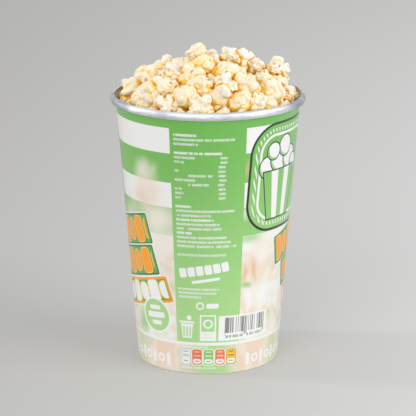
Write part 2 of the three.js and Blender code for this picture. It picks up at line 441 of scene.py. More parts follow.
# Turn, height, half width and half height of each, its colour and how strong it is
PUFFS = (
    (-46, 138, 9, 7, CORN_CREAM, 0.8), (-44, 124, 10, 12, CORN_PEACH, 0.6),
    (-48, 118, 7, 7, CORN_TAN, 0.35), (-38, 106, 15, 10, CORN_CREAM, 0.95),
    (-34, 90, 12, 12, CORN_CREAM, 0.8), (-66, 106, 6, 7, CORN_CREAM, 0.5),
    (27, 142, 3, 6, CORN_TAN, 0.5), (35, 72, 12, 10, CORN_PEACH, 0.9),
    (36, 72, 3, 9, CORN_TAN, 0.9), (25, 68, 2.2, 6, CORN_TAN, 0.9),
    (46, 88, 8, 8, CORN_CREAM, 0.7), (30, 94, 8, 4, LEAF_GREEN, 0.7),
    (-31, 72, 6, 7, CORN_TAN, 0.35), (27, 60.5, 5, 2.4, LEAF_GREEN, 0.8),
    (-31, 58, 6, 5, LEAF_GREEN, 0.6), (-60, 30, 7, 9, LEAF_GREEN, 0.8),
    (50, 38, 5, 4, LEAF_GREEN, 0.6), (45, 30, 12, 8, CORN_PEACH, 0.7),
)


def print_puffs(ink):
    """The larger pale puffs that stand out either side of the panel."""
    sway = (ink.noise(ink.round_place, 0.06) - 0.5) * 16
    for turn, height, wide, tall, corn, strength in PUFFS:
        across = ((ink.turn - turn) * 0.9 + sway) / wide
        up = (ink.height - height + sway * 0.6) / tall
        ink.lay(ink.length(across, up).fade(1.6, 0.1) * strength, corn)


def print_foot(ink):
    """Beige zone under the ring line, with soft green patches, and a bead-and-bar border."""
    zone = ink.height.fade(RING_LINE[0] + CRISP, RING_LINE[0])
    drift = ink.clouds(0.05, 0.03, 6.4, 1.3)
    sides = abs(((ink.turn + 65) % 64) - 32).fade(18, 34) * 0.55
    front = abs(ink.turn - 3).fade(26, 6) * 0.95
    patch = (sides.at_least(front) * (0.55 + drift * 0.8)).at_most(0.9)
    beige = ink.mix(drift.fade(0.4, 0.65), CORN_CREAM, CORN_PEACH)
    beige = ink.mix(drift.fade(0.52, 0.4) * 0.7, beige, FOOT_BEIGE)
    ink.lay(zone, ink.mix(patch, beige, ink.greens_with_painted_reflection))
    border = abs(ink.face_turn) - BORDER_START
    number, side = ink.cells(border, BORDER_STEP)
    across, up = side * ink.arc, ink.height - BORDER_HEIGHT
    even = (number % 2).fade(0.4, 0.6)
    bar = ink.inside(ink.slab(across, up, 1.5, 4.5, 1.2)) * (1 - even)
    bead = ink.inside(abs(ink.disc(across, up, 2.3)) - 0.9) * even
    ink.lay((bar + bead) * border.band(0, BORDER_CELLS * BORDER_STEP, 0.2) * 0.92, WHITE)
    ink.lay(ink.height.band(*RING_LINE, CRISP), WHITE)


TITLE_STEP = 10.4              # from one plain shape to the next
# Each row's middle, rise, half width and half height, and its colour
TITLE_ROWS = (
    (-2, 21.4, 39, 10.4, TITLE_GREEN), (1.5, 0.2, 34, 10.2, TITLE_GREEN),
    (5.5, -20.4, 34.5, 9.0, ORANGE),
)


def pills(ink, odd, across, up, half_width, half_height, bead_corner):
    """Distance outside a pill or, in the odd cells, a rounder bead."""
    pill = ink.slab(across, up, half_width, half_height, 2.6)
    bead = ink.slab(across, up, half_width - 0.2, half_height - 1.4, bead_corner)
    return pill + (bead - pill) * odd


def print_title(ink):
    """Three tilted panels on each main face, with rows of plain orange and white shapes."""
    across, up = ink.local(ink.face_turn, 13, 69, tilt=13.5)
    for middle, rise, half_width, half_height, paint in TITLE_ROWS:
        panel = ink.slab(across - middle, up - rise, half_width, half_height, 1.6)
        ink.stamp(panel, WHITE, 0.9)
        ink.stamp(panel, paint)
        if paint is ORANGE:
            ink.stamp(panel, TITLE_GREEN, -1.7)
        else:
            ink.lay(ink.inside(panel) * ink.inside(0 - panel, 1.2), DARK_GREEN)
    number, side = ink.cells(across, TITLE_STEP)
    odd = (number % 2).fade(0.4, 0.6)
    for middle, rise, half_width, half_height, paint in TITLE_ROWS:
        within = abs(across - middle).fade(half_width - 2.4, half_width - 2.8)
        tall = half_height - 1.9
        wide, face = (4.6, WHITE) if paint is ORANGE else (4.1, ORANGE)
        shadow = pills(ink, odd, side - 0.9, up - rise + 0.9, 4.4, tall, 4.1)
        shape = pills(ink, odd, side, up - rise, wide, tall, 3.9)
        ink.lay(ink.inside(shadow) * within, DARK_GREEN)
        ink.lay(ink.inside(shape, 0.7) * within, PALE_ORANGE)
        ink.lay(ink.inside(shape) * within, face)


def print_badge(ink):
    """A square badge with round corners on each main face: a striped cup of popcorn."""
    across, up = ink.local(ink.face_turn, -27, 133.5)
    badge = ink.slab(across, up, 36.5, 37, 21)
    ink.stamp(badge, BLACK)
    ink.stamp(badge, ink.greens_with_painted_reflection, -1.7)
    ink.stamp(abs(badge + 8.6) - 0.9, WHITE)
    ticks = abs((across + up * 0.35) % 3.1 - 1.55).fade(0.75, 0.55)
    ink.lay(ticks * ink.inside(abs(badge + 5.2) - 1.2) * 0.85, WHITE)
    across, up = (across + 7) / 1.3, up / 1.3
    for puff_across, puff_up, radius in (
        (-11, 5.5, 6.2), (-2.5, 9, 7.4), (7, 8, 6.8), (12.6, 4.6, 5), (2, 15, 6), (-7.5, 13.5, 5)
    ):
        puff = ink.disc(across - puff_across, up - puff_up, radius)
        ink.stamp(puff, BLACK)
        ink.stamp(puff, WHITE, -0.7)
        lit = ink.disc(across - puff_across - 1.4, up - puff_up - 1.4, radius)
        ink.lay(ink.inside(puff, -0.7) * ink.inside(0 - lit) * 0.8, ink.greens_with_painted_reflection)
    cup_half = up * 0.17 + 13
    cup = (abs(across) - cup_half).at_least(abs(up + 9.5) - 12.5)
    ink.stamp(cup, BLACK, 0.7)
    stripe = abs(((across / cup_half) * 2.5) % 2 - 1).fade(0.46, 0.54)
    ink.stamp(cup, ink.mix(stripe, WHITE, ink.greens_with_painted_reflection))


def print_sticker(ink):
    """A round green sticker with a white edge and three plain bars."""
    across, up = ink.local(ink.face_turn, 46.6, 38, tilt=6)
    disc = ink.disc(across, up, 12.6)
    ink.stamp(disc, WHITE)
    ink.stamp(disc, ink.greens_with_painted_reflection, -1.5)
    for rise, half_width, half_height in ((5.4, 4.8, 1.5), (0.2, 7.6, 2.0), (-5.2, 4.2, 1.5)):
        ink.stamp(ink.slab(across, up - rise, half_width, half_height, 1.0), WHITE)


def print_panel(ink):
    """The green information panel, with its fine print as plain bars."""
    edge = abs(ink.turn).fade(PANEL_HALF_ANGLE + CRISP / 2, PANEL_HALF_ANGLE - CRISP / 2)
    panel = edge * ink.height.fade(RING_LINE[1], RING_LINE[1] + CRISP)
    ink.lay(panel, ink.greens_with_painted_reflection)
    down = (TEXT_TOP + TEXT_PITCH / 2 - ink.height) / TEXT_PITCH
    line = down.floor()
    starts_at, ends_at, strength = ink.axes(ink.pick(line, [
        ((start - TEXT_LEFT) / TEXT_SPAN, (end - TEXT_LEFT) / TEXT_SPAN, strength)
        for start, end, strength in TEXT_LINES
    ]))
    along = (ink.turn - TEXT_LEFT) / TEXT_SPAN
    run = (along - starts_at).fade(0, 0.006) * (ends_at - along).fade(0, 0.006)
    # A short, ragged column on the right, beside lines 5 to 15
    right = abs(ink.turn - 10.2 + ink.speckle(line, 2) * 2).fade(2.4, 2.2)
    right = right * down.band(5, 15, 0.01) * 0.7
    words_apart = ink.noise(ink.joined(ink.turn * 0.6, line * 7.3), 1.0, detail=1)
    strokes = ink.noise(ink.joined(ink.turn * 1.5, down * 4.6), 1.0)
    letters = words_apart.fade(0.32, 0.38) * (0.3 + 0.8 * strokes.fade(0.36, 0.6))
    tall = abs(down - line - 0.5).fade(0.33, 0.2)
    block = down.band(0, len(TEXT_LINES), 0.01)
    words = ((run * strength).at_least(right) * letters * tall * block * 1.1).at_most(1)
    for height, end in ADDRESS_LINES:
        row = abs(ink.height - height).fade(0.85, 0.6) * ink.turn.band(TEXT_LEFT, end, 0.3) * 0.7
        words = words.at_least(row * letters)
    ink.lay(words * panel, WHITE)


TAB_STEP = 5.7


def print_pictures(ink):
    """Plain pictures low on the panel: tabs, a ring and bar, a bin, and a framed ring."""
    across, up = ink.local(ink.turn, -2.5, 71.5, tilt=9)
    _, side = ink.cells(across, TAB_STEP)
    tabs = ink.inside(ink.slab(side, up - 2, 2.4, 3.3, 1.1))
    tabs = tabs * across.band(-3 * TAB_STEP, 3 * TAB_STEP, 0.1)
    under = ink.inside(ink.slab(across, up + 5.3, 9.5, 1.0, 0.9))
    ink.lay(tabs.at_least(under), WHITE)

    across, up = ink.local(ink.turn, 0, 48.4)
    ring = ink.inside(abs(ink.disc(across + 5.2, up, 2.2)) - 0.5)
    bar = ink.inside(ink.slab(across - 3, up, 4.0, 1.7, 0.8))
    ink.lay(ring.at_least(bar), WHITE)

    across, up = ink.local(ink.turn, -15, 33)
    bin_side = (abs(across + 1) - (up * 0.12 + 4)).at_least(abs(up + 2.6) - 5.0)
    slots = abs(((across + 1) / 2.1) % 1 - 0.5).fade(0.16, 0.24) * abs(up + 3).fade(3.6, 3.4)
    bin_mark = ink.inside(bin_side) * (1 - slots * 0.8)
    lid = ink.inside(ink.slab(across + 1, up - 3.6, 5.2, 0.7, 0.5))
    dropped = ink.inside(ink.disc(across - 0.6, up - 6.8, 1.7))
    ink.lay(bin_mark.at_least(lid).at_least(dropped), WHITE)

    across, up = ink.local(ink.turn, 0, 32.9)
    frame_mark = ink.inside(ink.slab(across, up, 5.4, 9.2, 0.6))
    window = ink.inside(ink.slab(across, up - 2.8, 4.4, 5.4, 0.5))
    loop = ink.inside(abs(ink.disc(across, up - 2.8, 2.7)) - 0.6)
    captions = ink.inside(ink.slab(across, abs(up + 5.8) - 1.1, 3.0, 0.45, 0.3)) * 0.35
    ink.lay(frame_mark * (1 - window * (1 - loop)) * (1 - captions), WHITE)


def print_barcode(ink):
    """A white block with uneven dark bars, beside and over the panel's lower corner."""
    across, up = ink.local(ink.turn, 29.5, 32.3)
    ink.stamp(ink.slab(across, up, 18.7, 8.8, 0.4), WHITE)
    lines = ink.speckle((across / 0.5).floor(), 5).fade(0.52, 0.54)
    thick = ink.speckle((across / 1.5).floor(), 9).fade(0.8, 0.82)
    bars = lines.at_least(thick) * abs(across).fade(15.9, 15.7)
    guard = abs(across).fade(14.2, 14.4).at_least(abs(across).fade(1.4, 1.2))
    foot = up.fade(-3.6, -3.3).at_least(guard * up.fade(-5.4, -5.2))
    ink.lay(bars * foot * up.fade(7.6, 7.4) * 0.72, BLACK)
    digits = ink.noise(ink.joined(across * 0.8, 4), 1.0, detail=1).fade(0.42, 0.52)
    digits = digits * abs(across).fade(16.6, 16.2) * abs(up + 6.0).fade(1.2, 0.7) * (1 - guard)
    ink.lay(digits * 0.55, BLACK)


LOZENGES = (                   # body, small bars
    (swatch(236, 238, 238), swatch(150, 156, 158)),
    (swatch(240, 112, 74), swatch(250, 214, 196)),
    (swatch(140, 202, 106), swatch(236, 248, 226)),
    (swatch(240, 126, 90), swatch(250, 214, 196)),
    (swatch(244, 196, 60), swatch(140, 112, 60)),
)
LOZENGE_STEP = 9.08
LOZENGE_START = -22.34         # left side of the first one's room
LOZENGE_HEIGHT = 12


def print_lozenges(ink):
    """Five rounded tabs in a row under the ring line, each with a white oval."""
    along = ink.turn - LOZENGE_START
    number, side = ink.cells(along, LOZENGE_STEP)
    across, up = side * ink.arc, ink.height - LOZENGE_HEIGHT
    row = abs(along / LOZENGE_STEP - 2.5).fade(2.5, 2.49)
    body, bars = (ink.pick(number, colours) for colours in zip(*LOZENGES))
    tab = ink.slab(across, up, 3.48, 5.7, 1.9)
    ink.lay(ink.inside(tab, 0.35) * row, WHITE)
    ink.lay(ink.inside(tab) * row, bars)
    ink.lay(ink.inside(tab, -0.3) * row, body)
    oval = ink.slab(across, up + 3.0, 2.7, 1.7, 1.6)
    ink.lay(ink.inside(oval) * row, WHITE)
    for rise, half_width, paint in ((3.7, 1.7, bars), (0.9, 2.2, bars), (-3.0, 1.5, OVAL_GREY)):
        bar = ink.inside(ink.slab(across, up - rise, half_width, 0.42, 0.3))
        ink.lay(bar * row * 0.8, paint)
    for height, end in ((19.0, 0), (4.2, 6)):
        thin = abs(ink.height - height).fade(0.6, 0.4) * ink.turn.band(-21, end, 0.3)
        gaps = ink.noise(ink.joined(ink.turn * 0.8, height), 1.0).fade(0.38, 0.44)
        ink.lay(thin * gaps * 0.7, WHITE)


def printed_board():
    """All the print under a satin varnish that follows the board's faint grain."""
    ink = Print("printed board")
    for coat in (
        print_hoops, print_popcorn, print_puffs, print_foot, print_badge, print_title,
        print_sticker, print_panel, print_pictures, print_barcode, print_lozenges,
    ):
        coat(ink)
    ink.lay(ink.height.fade(PRINT_TOP, PRINT_TOP + CRISP), WHITE)
    x, y, _ = ink.axes(ink.place)
    cut = abs(x + LAP_EDGE / 2).fade(LAP_EDGE * 0.8, LAP_EDGE * 0.4) * y.fade(0, MM)
    ink.lay(cut * 0.8, WHITE)
    wear = ink.height.fade(1.4, 0.2)
    ink.lay(wear * 0.5, WHITE)
    grain = ink.noise(ink.round_place, 1.4, detail=3, rough=0.6)
    waves = ink.noise(ink.round_place, 0.045, detail=1)
    ink.surface({
        "Base Color": ink.colour,
        "Roughness": 0.36 + grain * 0.1 + wear * 0.2,
        "Coat Weight": 0.45,
        "Coat Roughness": 0.26,
        "Normal": ink.bumps(grain * 0.05 + waves, 0.6 * MM, 0.25),
    })
    return ink


def board_liner():
    """The inside of the wall: a greyish, faintly creased barrier layer."""
    finish = Finish("board liner")
    creases = finish.noise(finish.place, 90, detail=4, rough=0.6)
    stain = finish.noise(finish.place, 35, detail=3)
    colour = finish.mix(stain.fade(0.4, 0.65), swatch(204, 190, 166), swatch(186, 168, 136))
    finish.surface({
        "Base Color": colour,
        "Roughness": 0.4 + creases * 0.2,
        "Metallic": 0.15,
        "Normal": finish.bumps(creases, 0.2 * MM, 0.4),
    })
    return finish


wall = turned(wall_outline(), WALL_STEPS)
add_lap(wall)
soften(wall, CUT_ROUNDING, 2, least_angle=60)
for face in wall.faces:
    middle = face.calc_center_median()
    outside = math.hypot(middle.x, middle.y) > wall_radius(middle.z) - 0.3 * WALL_BOARD
    face.material_index = 0 if outside else 1
piece(
    "printed_wall", wall, [printed_board(), board_liner()], ["tub_wall"], crease=50
)


# --- Base ----------------------------------------------------------------------------
# A disc of plain board with a skirt turned down round it, glued between the wall and the
# wall's hem, so the base is raised and the tub stands on the wall's foot.

BASE_BOARD = 0.7 * MM
BASE_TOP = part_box("tub_base")[1].z
SKIRT_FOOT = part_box("tub_base")[0].z
SKIRT_GAP = 0.3 * MM
SKIRT_ROUNDING = 0.35 * MM
BASE_STEPS = 96
LEAST_FACE = 1e-12             # square metres: smaller faces are left over from the turning


def base_outline():
    """Under the disc, down inside the skirt, up outside it, and over the disc."""
    skirt = WALL_BOARD + SKIRT_GAP
    under = BASE_TOP - BASE_BOARD
    return [
        (0, under),
        in_from_wall(skirt + BASE_BOARD, under),
        in_from_wall(skirt + BASE_BOARD, SKIRT_FOOT),
        in_from_wall(skirt, SKIRT_FOOT),
        in_from_wall(skirt, BASE_TOP),
        (0, BASE_TOP),
    ]


def plain_board():
    """Uncoated board: pale and fibrous, with grey and brown flecks."""
    finish = Finish("plain board")
    fibres = finish.noise(finish.place, 900, detail=4, rough=0.7)
    clouds = finish.noise(finish.place, 60, detail=3)
    colour = finish.mix(clouds, swatch(214, 206, 190), swatch(226, 220, 206))
    colour = finish.mix(fibres.fade(0.62, 0.75) * 0.5, colour, swatch(160, 144, 118))
    finish.surface({
        "Base Color": colour,
        "Roughness": 0.8 + fibres * 0.15,
        "Normal": finish.bumps(fibres, 0.08 * MM, 0.5),
    })
    return finish


base = turned(base_outline(), BASE_STEPS)
for face in [face for face in base.faces if face.calc_area() < LEAST_FACE]:
    base.faces.remove(face)
soften(base, SKIRT_ROUNDING, 3, least_angle=50)
piece("raised_base", base, [plain_board()], ["tub_base"], crease=50)


# --- Metal rim -----------------------------------------------------------------------
# The seamed ring of a pull-off metal end, left on the tub once the lid has been torn out:
# a folded bead outside, a flat top, and a short leg down inside the wall. Satin aluminium.

RIM_STEPS = 256
RIM_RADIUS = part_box("rim_ring")[1].x
RIM_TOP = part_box("rim_ring")[1].z
RIM_WIDTH = 3 * MM
RIM_BORE = RIM_RADIUS - RIM_WIDTH
RIM_METAL = 0.5 * MM
LEG_FOOT = RIM_TOP - 1.6 * MM
BEAD_LEAN = 0.6 * MM           # the bead leans in towards its top
BEAD_FOOT = SHOULDER + 0.25 * MM
BEAD_TUCK = 0.5 * MM
RIM_GAP = 0.3 * MM
BEAD_ROUNDING = 1.7 * MM
LEG_ROUNDING = 0.45 * MM
FOLD_ROUNDING = 0.15 * MM


def rim_outline():
    """Up the inner leg, over the top, down the leaning bead, and back inside."""
    bead_inside = FLARED_RADIUS + RIM_GAP
    ceiling = RIM_TOP - RIM_METAL
    return [
        (RIM_BORE, LEG_FOOT),
        (RIM_BORE, RIM_TOP),
        (RIM_RADIUS - BEAD_LEAN, RIM_TOP),
        (RIM_RADIUS, BEAD_FOOT + 2 * BEAD_TUCK),
        (RIM_RADIUS - BEAD_TUCK, BEAD_FOOT),
        (SHOULDER_RADIUS + 1.4 * RIM_GAP, SHOULDER),
        (bead_inside, FLARE_TOP - 0.4 * RIM_GAP),
        (bead_inside, ceiling),
        (RIM_BORE + RIM_METAL, ceiling),
        (RIM_BORE + RIM_METAL, LEG_FOOT),
    ]


def satin_aluminium():
    """Rolled aluminium: fine lines round the ring, soft dents, a few dull patches, and both sides
    painted darker as a painted reflection.
    """
    finish = Finish("satin aluminium")
    x, y, z = finish.axes(finish.place)
    turn = x.arctan2(0 - y)
    reach = finish.length(x, y)
    lines = finish.noise(finish.joined(turn * 3, reach * 4000, z * 4000), 1.0, detail=3)
    dents = finish.noise(finish.joined(turn * 7, reach * 90, z * 160), 1.0)
    dull = finish.noise(finish.place, 60, detail=3).fade(0.42, 0.66)
    # Where it is worn, and where its sides are painted darker as a painted reflection of dim
    # surroundings, in radians round the ring from its front
    handled = turn.band(-1.05, -0.2, 0.35)
    painted_dark_sides = abs(turn).band(0.95, 2.1, 0.25) * (0.3 + dull * 0.5)
    bright = finish.mix(dull, swatch(222, 225, 229), swatch(204, 206, 212))
    finish.surface({
        "Base Color": finish.mix(painted_dark_sides, bright, swatch(158, 161, 168)),
        "Metallic": 1.0,
        "Roughness": 0.4 + lines * 0.08 + dull * 0.1 + handled * 0.1,
        "Normal": finish.bumps(dents + lines * 0.02, 1.6 * MM, 0.5),
    })
    return finish


rim = turned(rim_outline(), RIM_STEPS)


def top_edges(low, high):
    """Picks the edges of the flat top that lie between two radii."""

    def picked(edge):
        middle = (edge.verts[0].co + edge.verts[1].co) / 2
        return low < math.hypot(middle.x, middle.y) < high and middle.z > RIM_TOP - 0.1 * MM

    return picked


soften(rim, BEAD_ROUNDING, 8, where=top_edges(RIM_RADIUS - 1.5 * BEAD_LEAN, RIM_RADIUS))
soften(rim, LEG_ROUNDING, 4, where=top_edges(0, RIM_BORE + 0.2 * MM))
soften(rim, FOLD_ROUNDING, 2, least_angle=60)
seamed_rim = piece(
    "seamed_rim", rim, [satin_aluminium()], ["rim_ring"], crease=40
)


# --- Packed filling ------------------------------------------------------------------
# The popcorn that fills the tub, as one mass with a lumpy, domed top. It shows only deep in
# the gaps between the flakes above it, and is coloured golden there as painted shade.

HEAP_RADIUS = 56 * MM
HEAP_FOOT = 178 * MM
HEAP_RISE = 20 * MM
HEAP_CENTRE = (-2 * MM, 4 * MM)
HEAP_GAP = 0.4 * MM            # between the popcorn and what holds it
# Layers: painted shade in hollows and in folds, golden caps (with painted shade where buried), and
# each flake's own tone
CORN_LAYERS = ("hollow", "fold", "cap", "flake")

# Warmer, golden and deep golden: laid on by painted shade in hollows and folds, and by golden caps
# and specks
CORN_WARM = swatch(231, 215, 166)
CORN_GOLD = swatch(240, 202, 88)
CORN_DEEP = swatch(244, 184, 24)


def heap_height(x, y):
    """How high the flake centres of the heap lie."""
    away = math.hypot(x - HEAP_CENTRE[0], y - HEAP_CENTRE[1]) / HEAP_RADIUS
    return HEAP_FOOT + HEAP_RISE * (1 - away**2)


def room_radius(height):
    """How far out popcorn may reach: clear of the board, the rim's leg and the rim's top."""
    if height < SHOULDER:
        return wall_radius(height) - WALL_BOARD - HEAP_GAP
    return RIM_BORE - HEAP_GAP


def popped_corn(name, cream, warmth, specks):
    """Popped starch: cream swells, golden caps and toasted specks, with painted shade in warmer,
    golden and deep golden tones in hollows and folds.
    """
    finish = Finish(name)
    hollow, fold, cap, flake = (
        finish.node("ShaderNodeAttribute", {"attribute_name": layer}, {}).output("Fac")
        for layer in CORN_LAYERS
    )
    cloud = finish.noise(finish.place, 170, detail=3, rough=0.55)
    fine = finish.noise(finish.place, 1300, detail=3, rough=0.65)
    # Painted shade: hollows, and less so folds, turn warmer, golden and deep golden
    warm = (cloud - 0.5) * 1.2 + warmth + flake * 0.3 + hollow * 1.4
    colour = finish.mix(warm.fade(0.0, 1.1), cream, CORN_WARM)
    cap = cap * (0.35 + cloud * 1.1)
    golden = (hollow * 1.2 + fold * 0.35 + cap * 0.8 + (fine - 0.5) * 0.4 + (cloud - 0.5) * 0.4)
    colour = finish.mix(golden.fade(0.24, 0.72), colour, CORN_GOLD)
    deep = (hollow * 1.2 + cap * 0.2 + fold * 0.15 + (fine - 0.5) * 0.4).fade(0.45, 0.85)
    colour = finish.mix(deep, colour, CORN_DEEP)
    cells = finish.node("ShaderNodeTexVoronoi", {}, {"Vector": finish.place, "Scale": 430})
    mottle = finish.noise(finish.place, 620).fade(0.56, 0.68) * 0.7
    spot = (cells.fade(0.36, 0.16) * cloud.fade(0.42, 0.58)).at_least(mottle) * specks
    colour = finish.mix(spot, colour, CORN_GOLD)
    finish.surface({
        "Base Color": colour,
        "Roughness": 0.66 + fine * 0.2,
        "Subsurface Weight": 0.4,
        "Subsurface Radius": (1.0, 0.94, 0.7),
        "Subsurface Scale": 2.4 * MM,
        "Normal": finish.bumps(fine + cloud * 1.5, 0.3 * MM, 0.5),
    })
    return finish


BED_STEPS = 180
BED_RINGS = 44
BED_RADIUS = 60 * MM
BED_DEPTH = 7 * MM
BED_EDGE = 173.5 * MM
BED_LUMP = 6 * MM
BED_LUMP_CUT = 0.4             # where the lumps are cut off flat
BED_LUMPS = 120                # about this many of them in a metre
BED_SHADE = 0.75              # how much painted shade in gold it gets: it shows only deep in the gaps
BED_FLAKE = 0.8                # and how warm its cream
BED_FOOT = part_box("popcorn")[0].z


def filling_outline():
    """From the middle of the top out to the wall, and down to the base."""
    top = [(BED_RADIUS * ring / BED_RINGS, RIM_TOP) for ring in range(BED_RINGS + 1)]
    return top + [(room_radius(BED_FOOT), BED_FOOT), (0, BED_FOOT)]


def with_corn_layers(bm):
    """Adds the numbers that the popcorn's colours go by."""
    for name in CORN_LAYERS:
        bm.verts.layers.float.new(name)
    return bm


def press_in(vert):
    """Moves a point in to where the popcorn clears the board and the rim."""
    pressed = min(1, room_radius(vert.co.z) / max(math.hypot(vert.co.x, vert.co.y), MM))
    vert.co.x *= pressed
    vert.co.y *= pressed


bed = with_corn_layers(turned(filling_outline(), BED_STEPS))
bed_hollow_shade = bed.verts.layers.float["hollow"]
bed_flake = bed.verts.layers.float["flake"]
for vert in bed.verts:
    if vert.co.z > BED_FOOT + MM:
        lump = abs(noise.noise(vert.co * BED_LUMPS))
        top = max(BED_EDGE, heap_height(vert.co.x, vert.co.y) - BED_DEPTH)
        vert.co.z = top - BED_LUMP * (BED_LUMP_CUT - min(lump, BED_LUMP_CUT))
        press_in(vert)
        vert[bed_hollow_shade] = BED_SHADE
        vert[bed_flake] = BED_FLAKE
# Painted shade: the filling is coloured deep gold, standing for the shaded depths between the
# flakes
filling = piece("packed_popcorn", bed,
                [popped_corn("packed popcorn", swatch(240, 186, 90), 1.0, 0.4)],
                ["popcorn"])


# --- Popcorn flakes ------------------------------------------------------------------
# Popped corn heaped up above the rim. Four kinds of flake burst out of their hulls as
# balls, winged bursts, clumps and smooth shells. More flakes lie under them, down to the
# packed filling. What is hollow between them is painted golden as shade.

SPREAD_PLACES = 400
SPREAD_RADIUS = 54 * MM
FLAKE_RADIUS = (7.4 * MM, 10 * MM)
FLAKE_SHIFT = (-1.2 * MM, 1.2 * MM)
NEIGHBOUR_FIT = 0.7
FLAKE_VARIANTS = 4
LOBE_WANDER = 0.7
LOBE_REACH_RANGE = (0.8, 1.15)
LOBE_SIZE_RANGE = (0.75, 1.25)
LOBE_THIN_RANGE = (0.8, 1.2)
BODY_RANGE = (0.9, 1.1)
KNOB_REACH = 0.75              # the knobs' places and sizes, as shares of their lobe's size
KNOB_SIZE = 0.42
KNOB_RANGE = (0.7, 1.2)
GOLDEN_ANGLE = math.pi * (3 - math.sqrt(5))
SWIRL_SEED = 13                # how the folds on every flake bend
SWIRL = 0.25
SWIRL_SIZE = 1.7
FOLD_SIZES = (1.7, 4.2, 10)    # folds to a flake's radius: broad, middling and fine
FOLD_WIDTH = 0.1
FINE_SKIN = 0.06               # mesh spacing on the flakes that show, as a share of the radius
COARSE_SKIN = 0.11             # the same on the flakes under them
CHOSEN_SWELL = 1.2             # the flakes press into their neighbours
SPREAD_SWELL = 1.1
UNDER_PLACES = 46
UNDER_REACH = 47 * MM
UNDER_DEPTH = (6 * MM, 9 * MM)
UNDER_RADIUS = (7 * MM, 9 * MM)
UNDER_GILDING = 0.3            # how much of a golden cap the flakes underneath get
EDGE_PLACES = 22
EDGE_RADIUS = (5.6 * MM, 7.4 * MM)
EDGE_HEIGHT = (174 * MM, 177.5 * MM)
EDGE_ROOM = 176 * MM           # where the room for the row along the wall is measured
SQUASH_RANGE = (0.9, 1.08)
PRESSED_BELOW = RIM_TOP + 0.5 * MM
CAP_LEAN = Vector((0, -0.6, 0.4))    # golden caps turn forwards and up
CAP_EDGE = 0.3                 # a cap's edge and how it fades in, as cosines
CAP_FADE = 0.6
BURIED_FROM = 3.5 * MM         # popcorn this far down the heap gets painted shade, in gold
BURIED_SHADE = 0.7

# Shares of the flake's radius: a body, the lobes burst out of it, how thin those are and the
# knobs on them, then how far its skin swells between folds of three sizes, and how golden
# its cap is
FLAKE_KINDS = {
    "ball": dict(seed=5, body=0.84, offset=0, lobes=7, lobe=0.46, thin=0.85, reach=0.53,
                 knobs=0, swell=0.24, crumple=0.09, fray=0.04, gild=(0.0, 0.7)),
    "burst": dict(seed=17, body=0.52, offset=0, lobes=8, lobe=0.52, thin=0.5, reach=0.5,
                  knobs=2, swell=0.26, crumple=0.2, fray=0.06, gild=(0.0, 0.1)),
    "clump": dict(seed=29, body=0.66, offset=0.1, lobes=5, lobe=0.56, thin=0.75, reach=0.48,
                  knobs=1, swell=0.34, crumple=0.12, fray=0.04, gild=(0.0, 0.6)),
    "shell": dict(seed=41, body=0.84, offset=0.08, lobes=4, lobe=0.54, thin=0.45, reach=0.52,
                  knobs=0, swell=0.3, crumple=0.045, fray=0.02, gild=(0.1, 0.68)),
}
KIND_NAMES = list(FLAKE_KINDS)

# Flakes that make the crown, the outline and the front row: kind, place, radius (millimetres)
CHOSEN_FLAKES = (
    ("shell", -6.8, 6, 207.4, 7.3), ("ball", -9, 10, 197, 8.4), ("ball", -3, -9, 198.5, 9),
    ("shell", 13, -15, 196, 8.6), ("burst", 15, 9, 201, 7.6), ("burst", 24, 10, 200, 7.4),
    ("burst", 31, 8, 197, 6.2), ("burst", -23, -10, 194, 9.2), ("clump", -20, 10, 191.5, 8.6),
    ("ball", -34, 8, 189.5, 8), ("ball", 25, -24, 189, 9), ("burst", 46, 6, 196, 7),
    ("clump", 47, 4, 184, 9), ("shell", 42, -16, 184, 9.6), ("ball", 37, -3, 189, 7),
    ("shell", -50, -2, 184, 7.6), ("ball", -38, -27, 184, 9), ("shell", -28, -26, 189, 7.6),
    ("burst", -41.5, 10, 186, 7), ("ball", -15, -39, 186, 8.4), ("clump", -5, -33, 190, 7.6),
    ("shell", 8, -40, 185.5, 8), ("ball", 21, -42.5, 182.5, 8), ("burst", 33, -42, 180.5, 7.4),
    ("clump", -26, -44, 181.5, 7.2),
)


def seeded(seed):
    """A function that gives a repeatable stream of numbers from 0 to 1."""
    state = seed

    def draw():
        nonlocal state
        state = (state * 1664525 + 1013904223) % 4294967296
        return state / 4294967296

    return draw


def between(limits, share):
    return limits[0] + (limits[1] - limits[0]) * share


def spiral_way(index, count, start):
    """An even spread of directions over a ball, turned by an angle."""
    height = 1 - 2 * (index + 0.5) / count
    around = start + GOLDEN_ANGLE * index
    across = math.sqrt(1 - height**2)
    return Vector((across * math.cos(around), across * math.sin(around), height))


def placed_ball(centre, size, shape, way, draw):
    """A ball squashed to a shape whose second axis points one way, as a matrix."""
    side = way.cross(Vector([draw() - 0.5 for _ in range(3)])).normalized()
    basis = Matrix((side, way, side.cross(way))).transposed().to_4x4()
    return Matrix.Translation(centre) @ basis @ Matrix.Diagonal([size * s for s in shape] + [1])


